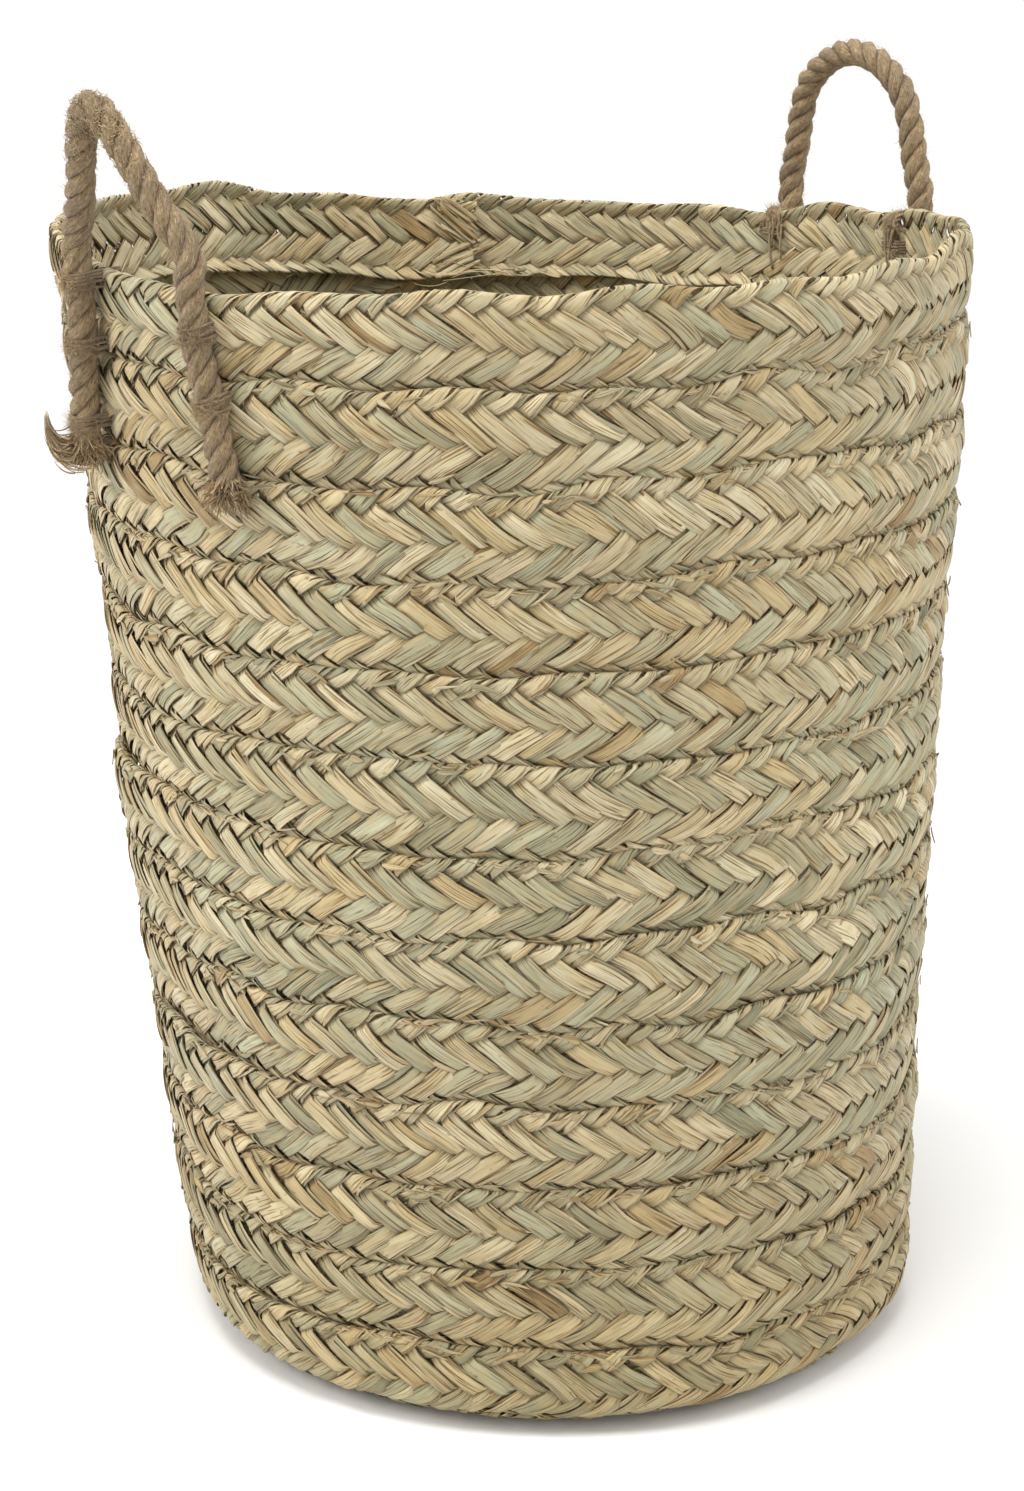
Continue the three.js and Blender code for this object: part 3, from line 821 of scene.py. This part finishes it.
def rope_strands(path):
    """Three strands laid round one another, each with the ridges of its yarns."""
    length = lengths_along(path)[-1]
    count = int(length / ROPE_STEP)
    middle = smooth_path(path, count)
    ahead, side, other = carried_frames(middle)
    gone = np.linspace(0, length, count)
    turn = np.arange(STRAND_SIDES) * 2 * math.pi / STRAND_SIDES
    points, shades, grains = [], [], []
    for strand in range(3):
        phase = 2 * math.pi * (gone / LAY_LENGTH + strand / 3)
        radial = ring(phase, side, other)
        centre = middle + radial * (STRAND_OFFSET + 0.15 * waves(gone, 31 + strand, 6, 40, 9))[:, None]
        strand_ahead = normalised(np.gradient(centre, axis=0))
        across = normalised(np.cross(strand_ahead, radial))
        yarn = turn[None, :] * YARNS + gone[:, None] * 1.15
        ridge = 1 + 0.07 * np.cos(yarn) + 0.03 * waves(gone, 41 + strand, 8, 30, 4)[:, None]
        spokes = ring(turn, radial[:, None], STRAND_BREADTH * across[:, None])
        points.append(centre[:, None] + STRAND_RADIUS * ridge[:, :, None] * spokes)
        # painted shade: the strands darken where they press against one another, and between the ridges of
        # their yarns
        shades.append(np.clip(0.12 + 0.95 * np.cos(turn)[None, :] + 0.14 * np.cos(yarn), 0, 1))
        grains.append(np.stack([
            np.broadcast_to(gone[:, None], yarn.shape), yarn / 2.2, np.full(yarn.shape, 9.0 * strand),
        ], -1))
    laid = {"points": points, "shade": shades, "grain": grains}
    laid = {key: np.stack(values)[:, ROPE_TRIM:-ROPE_TRIM] for key, values in laid.items()}
    return middle, (ahead, side, other), {"tone": 0.0, **laid}


def hairs(roots, directions, lengths, radii, rng, curl, tone=(0.0, 0.9), shade=0.9):
    """Loose fibres: thin tapering slivers that curl at random."""
    t = np.linspace(0, 1, 5)[:, None]
    bend = normalised(rng.normal(0, 1, (len(roots), 3))) * curl
    lengths = lengths[:, None, None]
    paths = (roots[:, None] + normalised(directions)[:, None] * (t * lengths)
             + bend[:, None] * (t ** 2 * lengths))
    return fibres_along(paths, radii, rng, tone, shade)


def fibres_along(paths, radii, rng, tone, shade=0.9):
    """Tapering slivers along the paths (fibre, station, xyz)."""
    count, stations = paths.shape[:2]
    taper = radii[:, None] * (1 - 0.75 * np.linspace(0, 1, stations)[None, :] ** 2)
    reference = normalised(rng.normal(0, 1, (count, 1, 3)))
    return {
        "points": sweep(paths, taper, 3, reference),
        "tone": rng.uniform(*tone, (count, 1, 1)), "shade": shade,
        "grain": rng.uniform(0, 30, (count, 1, 1, 3)),
    }


def rope_fuzz(middle, frames, rng, worn):
    """Loose hairs all along a rope, and so many felted ones where the crown of its loop is worn."""
    ahead, side, other = frames
    at = rng.integers(1, len(middle) - 1, ROPE_HAIRS)
    crown = rng.normal(len(middle) / 2, CROWN_SPREAD, worn).astype(int)
    at = np.concatenate([at, crown])
    count = len(at)
    felted = np.arange(count) >= ROPE_HAIRS
    radial = ring(rng.uniform(0, 2 * math.pi, count), side[at], other[at])
    roots = middle[at] + radial * rng.uniform(5.2, 6.3, count)[:, None]
    lie = ahead[at] * rng.normal(0, 1.0, count)[:, None]
    turn = np.cross(ahead[at], radial) * rng.normal(0, 1.0, count)[:, None]
    stand = rng.uniform(0.05, 0.6, count) * np.where(felted, 0.25, 1.0)
    directions = radial * stand[:, None] + lie + turn
    lengths = np.where(rng.random(count) < 0.93, rng.uniform(0.8, 3.0, count),
                       rng.uniform(3.0, 5.5, count))
    lengths = np.where(felted, np.minimum(lengths, 2.6), lengths)
    radii = rng.uniform(0.035, 0.085, count) * np.where(felted, 2.6, 1.0)
    return hairs(roots, directions, lengths, radii, rng, 0.5)


def frayed_end(tip, down, outward, rng):
    """The teased-out cut end of a rope: a short thick brush of fibres."""
    count = 900
    inside = rng.uniform(0, 1, count) ** 0.5
    radial = ring(rng.uniform(0, 2 * math.pi, count), np.cross(down, outward), outward)
    roots = (tip - down * rng.uniform(3, 11, count)[:, None]
             + radial * (inside * (ROPE_RADIUS - 0.2))[:, None])
    directions = down + radial * inside[:, None] + rng.normal(0, 0.35, (count, 3))
    directions = directions + outward * np.maximum(-(directions @ outward), 0)[:, None]
    lengths = rng.uniform(0.45, 1.0, count) * 7.0
    shade = rng.uniform(0.2, 0.9, (count, 1, 1))
    return hairs(roots, directions, lengths, rng.uniform(0.2, 0.6, count), rng, 0.7, (-0.6, 0.5), shade)


def hooked_tuft(tip, down, outward, rng):
    """A lock of fibres that hooks back up, away from the wall, and closes to a point."""
    count = 260
    away = normalised(outward * 0.8 + np.array([-0.6, 0.2, 0]))
    t = np.linspace(0, 1, 9)[None, :, None] * rng.uniform(0.45, 1.0, (count, 1, 1))
    hook = (away * (15 * np.sin(t * math.pi / 2)) + down * (10 * t * (1 - t))
            + UP * 20 * t ** 1.8)
    spread = rng.normal(0, 2.9, (count, 1, 3)) - down * rng.uniform(0, 9, (count, 1, 1))
    paths = tip + away * 2 + hook + spread * (1 - 0.9 * t) + rng.normal(0, 0.25, (count, 1, 3))
    return fibres_along(paths, rng.uniform(0.2, 0.5, count), rng, (-0.5, 0.5))


THREAD_RADIUS = 0.52
THREAD_SIDES = 6
THREAD_WRAPS = 5
THREAD_PITCH = 1.25
INSIDE = STRIP_THICKNESS + ROPE_CLEARANCE + ROPE_RADIUS  # from the rope's middle to the inner face


def thread(paths, tone, rng, shade=0.6, reference=(0.3, 0.2, 1.0), thickest=1.2):
    """Jute thread along the paths (thread, station, xyz)."""
    radii = np.full(paths.shape[:2], THREAD_RADIUS) * rng.uniform(0.9, thickest, (len(paths), 1))
    at = np.arange(paths.shape[1])[None, :, None]
    grain = np.stack(np.broadcast_arrays(
        at * 1.0, np.arange(THREAD_SIDES) / 1.5 + at * 0.8, rng.uniform(0, 20, (len(paths), 1, 1))), -1)
    points = sweep(paths, radii, THREAD_SIDES, reference)
    return {"points": points, "tone": tone, "shade": shade, "grain": grain}


def leg_place(handle, end, middle, height):
    """Where a binding crosses the rope: its middle, its direction, sideways and out of the wall."""
    path = middle if end["side"] < 0 else middle[::-1]
    path = path[:len(path) // 3]
    gone = lengths_along(path)
    top = np.interp(pivot_of(handle)[0][2] - PIVOT_ABOVE_RIM - LEG_TOP, path[:, 2], gone)
    share = (height + LEG_LENGTH - ROPE_RADIUS) / (LEG_LENGTH - ROPE_RADIUS)
    at = ROPE_RADIUS + share * (top - ROPE_RADIUS)
    here = point_at(path, gone, at)
    ahead = normalised(point_at(path, gone, at + 2) - here)
    radial = np.array([here[0] + LEAN * here[2], here[1], 0])
    side = normalised(np.cross(normalised(radial), ahead))
    return here, ahead, side, np.cross(ahead, side)


def binding_piece(handle, end_name, number, middle, material, seed):
    """Turns of jute thread over the rope and through the wall, with a stitch on the inside."""
    rng = np.random.default_rng(seed)
    end = handle[end_name]
    height = end["bindings"][number]
    here, ahead, side, out = leg_place(handle, end, middle, height)
    angle = np.linspace(-0.12 * math.pi, 1.12 * math.pi, 22)
    drop = np.linspace(1, 0, 4, endpoint=False)[:, None]
    paths = []
    for wrap in range(THREAD_WRAPS):
        place = (wrap - (THREAD_WRAPS - 1) / 2) * THREAD_PITCH
        reach = ROPE_RADIUS - 0.4 + rng.uniform(-0.2, 0.2)
        slant = rng.uniform(0.4, 2.2)
        over = (ring(angle, side * (reach + 0.5), out * reach)
                + ahead * (place + slant * angle / math.pi)[:, None])
        enter = over[0] - out * (INSIDE + 1.3 + over[0] @ out) * drop
        leave = over[-1] - out * (INSIDE + 1.3 + over[-1] @ out) * drop[::-1]
        paths.append(here + np.concatenate([enter, over, leave]))
    tubes = [thread(np.array(paths), 0.1, rng, 0.5, ahead, 1.15)]
    tubes.append(inside_stitch(here, ahead, side, out, rng))
    count = 700
    radial = ring(rng.uniform(-0.1, 1.1, count) * math.pi, side, out)
    roots = here + radial * (ROPE_RADIUS + 0.1) + ahead * rng.uniform(-4, 4, count)[:, None]
    directions = radial * rng.uniform(0.0, 0.9, count)[:, None] + rng.normal(0, 0.7, (count, 3))
    tubes.append(hairs(roots, directions, rng.uniform(1.0, 4.2, count),
                       rng.uniform(0.05, 0.12, count), rng, 0.5))
    if number == 0 and handle["name"] == "right":
        tubes += rim_stitch(handle, end, side, out, rng)
    name = f"{handle['name']}_{end_name}_binding_{number + 1}"
    piece = build_piece(f"{name}_thread", tubes, material)
    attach(piece, "basket")
    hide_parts(name)


def inside_stitch(here, ahead, side, out, rng):
    """Three short threads side by side on the inner face of the wall."""
    t = np.linspace(-1, 1, 12)[None, :, None]
    rows = np.array([-1.3, 0.0, 1.3])[:, None, None]
    paths = (here + side * t * (ROPE_RADIUS + 0.5) - out * (INSIDE + 0.3 + 0.9 * (1 - t * t))
             + ahead * (rows + rng.uniform(-0.8, 0.8, (3, 1, 1)) * t))
    return thread(paths, 0.2, rng)


def rim_stitch(handle, end, side, out, rng):
    """Thread that laps from the rope over the rim to the inner face, with fuzz and cut ends."""
    place = end["side"] * handle["half_spacing"]
    rope = rope_on_wall(handle, place, -6.0)
    top = rope_on_wall(handle, place, 0.0) - out * (ROPE_RADIUS + HALF_THICKNESS)
    count = 9
    across = side * np.linspace(-3.4, 3.4, count)[:, None]
    slip = side * rng.uniform(-3, 3, (count, 1))
    drop = rng.uniform(5, 11, (count, 1))
    corners = np.stack([
        rope + across * 0.6 + out * 2, rope + across + UP * 4 - out * 3, top + across - UP * 0.4,
        top + across + slip * 0.4 - UP * 2.4 - out * (HALF_THICKNESS + 0.8),
        top + across + slip - UP * drop - out * (HALF_THICKNESS + 1.4),
        top + across + slip - UP * (drop + 1.5) + out * 1.0,
    ], 1)
    laps = np.stack([smooth_path(corner, 26) for corner in corners])
    count, t = 5, np.linspace(0, 1, 12)[None, :, None]
    start = top + side * rng.uniform(-5, 7, (count, 1, 1)) - UP * 7 - out * (HALF_THICKNESS + 2)
    length = np.array([22, 17, 12, 9, 7.0])[:, None, None]
    ends = start - UP * length * t + side * (rng.uniform(-2, 2, (count, 1, 1)) * t * t)
    ends = ends - out * (0.8 * np.sin(t * math.pi))
    count = 1300
    roots = laps.reshape(-1, 3)[rng.integers(0, laps.shape[0] * laps.shape[1], count)]
    fuzz = hairs(roots, rng.normal(0, 1, (count, 3)), rng.uniform(1, 4.5, count),
                 rng.uniform(0.06, 0.16, count), rng, 0.6)
    return [thread(laps, 0.5, rng), thread(ends, 0.5, rng), fuzz]


def build_rope(handle, material, seed):
    rng = np.random.default_rng(seed)
    middle, frames, strands = rope_strands(rope_path(handle))
    outward = outward_of(handle)
    name = handle["name"]
    tubes = [strands, rope_fuzz(middle, frames, rng, handle["worn"])]
    for tip, before in ((middle[0], middle[6]), (middle[-1], middle[-7])):
        tubes.append(frayed_end(tip, normalised(tip - before), outward, rng))
    if name == "left":
        tubes.append(hooked_tuft(middle[0], normalised(middle[0] - middle[6]), outward, rng))
    rope = build_piece(f"{name}_rope", tubes, material)
    ends = pivot_of(handle)
    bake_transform(rope)
    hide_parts(f"{name}_handle_loop", f"{name}_handle_rear_leg", f"{name}_handle_front_leg")
    for end_name in ("rear", "front"):
        for i in range(len(handle[end_name]["bindings"])):
            binding_piece(handle, end_name, i, middle, material, seed + 10 * i + len(end_name))


# ======== camera, light and floor
def add_camera():
    """The camera that was fitted to the photo: its place, its downward look and its lens."""
    lens = bpy.data.cameras.new("camera")
    lens.sensor_width = 36
    lens.lens = 73.5
    lens.clip_end = 20
    look = (math.radians(90 - 16.16), 0, 0)
    bpy.context.scene.camera = add_object("camera", lens, (-0.0183, -1.3423, 0.6504), look)


def add_area_light(name, place, target, size, power):
    light = bpy.data.lights.new(name, "AREA")
    light.shape = "DISK"
    light.size = size
    light.energy = power
    aim = np.array(target) - np.array(place)
    add_object(name, light, place, (
        math.atan2(math.hypot(aim[0], aim[1]), -aim[2]), 0, math.atan2(aim[1], aim[0]) - math.pi / 2))


def add_studio():
    world = bpy.data.worlds.new("studio")
    world.use_nodes = True
    background = world.node_tree.nodes["Background"]
    background.inputs["Color"].default_value = (1.0, 0.99, 0.97, 1.0)
    background.inputs["Strength"].default_value = STUDIO_WHITE
    bpy.context.scene.world = world
    add_area_light("left", (-2.0, -0.4, 1.3), (0, 0, 0.25), 1.0, 24)
    add_area_light("right", (2.0, -0.4, 1.3), (0, 0, 0.25), 1.0, 8)
    add_area_light("top", (-0.2, -0.6, 2.5), (0, 0.1, 0.4), 1.2, 44)
    mesh = bpy.data.meshes.new("floor")
    corners = [(FLOOR_REACH * x, FLOOR_REACH * y, -0.0005) for x, y in ((-1, -1), (1, -1), (1, 1), (-1, 1))]
    mesh.from_pydata(corners, [], [(0, 1, 2, 3)])
    mesh.materials.append(floor_material())
    floor = add_object("floor", mesh)


# ======== assembly
def build_turn(name, start, finish, material, slot, *nodes):
    """One turn of the strip as two half-turn pieces."""
    half = (math.ceil(start) + min(math.ceil(finish), TURNS)) / 2
    for side, first, last in (("a", start, half), ("b", half, finish)):
        tubes = plait(first, last)
        if first >= BASE_TURNS:
            tubes.append(loose_leaves(first, last, int(100 * first) + 900))
        if last > TURNS:
            tubes += strip_end(77)
        piece = build_piece(f"{name}_{side}", tubes, material)
        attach(piece, "basket")
        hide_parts(*nodes)


def build_strip():
    upper = seagrass_material("seagrass", 0.0)
    lower = seagrass_material("seagrass_low", 0.45)
    for turn in range(BASE_TURNS):
        nodes = [f"base_turn_{turn + 1}"] + (["strip_start_fold"] if turn == 0 else [])
        start = TAIL_START if turn == 0 else turn
        build_turn(f"base_braid_{turn + 1}", start, turn + 1, lower, "seagrass_braid_low", *nodes)
    for turn in range(WALL_TURNS):
        at = BASE_TURNS + turn
        finish = TURNS + END_LAP if turn == WALL_TURNS - 1 else at + 1
        label = f"{turn + 1:02d}"
        build_turn(f"wall_braid_{label}", at, finish, upper, "seagrass_braid", f"wall_turn_{label}")


def lacing_piece(material):
    """The sewing cord: two twisted plies that dip in and out of every seam."""
    along = np.arange(along_at(TURNS - 0.35), along_at(1.0), 2.2)
    turns = turns_at(along)
    weave = waves(along, 61, 12, 130, 45)
    out = -0.6 + 2.0 * np.clip(weave * 1.6, -1, 1) + 0.3 * waves(along, 62, 7, 60, 12)
    aside = 0.6 * waves(along, 63, 8, 45, 10)
    edge = lower_edge(turns) + seam_sway(turns)
    middle = basket_point(angle_at(turns), edge + aside + 1.0, out + wall_sway(angle_at(turns), edge))
    ahead = normalised(np.gradient(middle, axis=0))
    side = normalised(np.cross(ahead, UP))
    other = np.cross(ahead, side)
    paths = np.stack([middle + 0.6 * ring(2 * math.pi * along / 11 + math.pi * ply, side, other)
                      for ply in range(2)])
    radii = np.broadcast_to(0.72 + 0.12 * waves(along, 64, 9, 30, 6), paths.shape[:2])
    points = sweep(paths, radii, THREAD_SIDES, (0.1, 0.2, 1.0))
    grain = np.stack(np.broadcast_arrays(
        along[:, None], np.arange(THREAD_SIDES) / 2, np.full((2, 1, 1), 3.0)), -1)
    tone = 0.62 + 0.16 * waves(along, 65, 8, 90, 20)
    tube = {"points": points, "tone": tone[None, :, None], "shade": -0.6, "grain": grain}
    piece = build_piece("sewing_cord", [tube], material)
    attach(piece, "basket")
    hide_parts("lacing_cord")


bpy.context.scene.view_settings.view_transform = "Standard"
add_camera()
add_studio()
build_strip()
lacing_piece(seagrass_material("sewing_cord", 0.5))
jute = fibre_material("jute_rope", linear(84, 62, 38), linear(149, 124, 87), linear(196, 172, 133))
for number, handle in enumerate(HANDLES):
    build_rope(handle, jute, 500 + number)
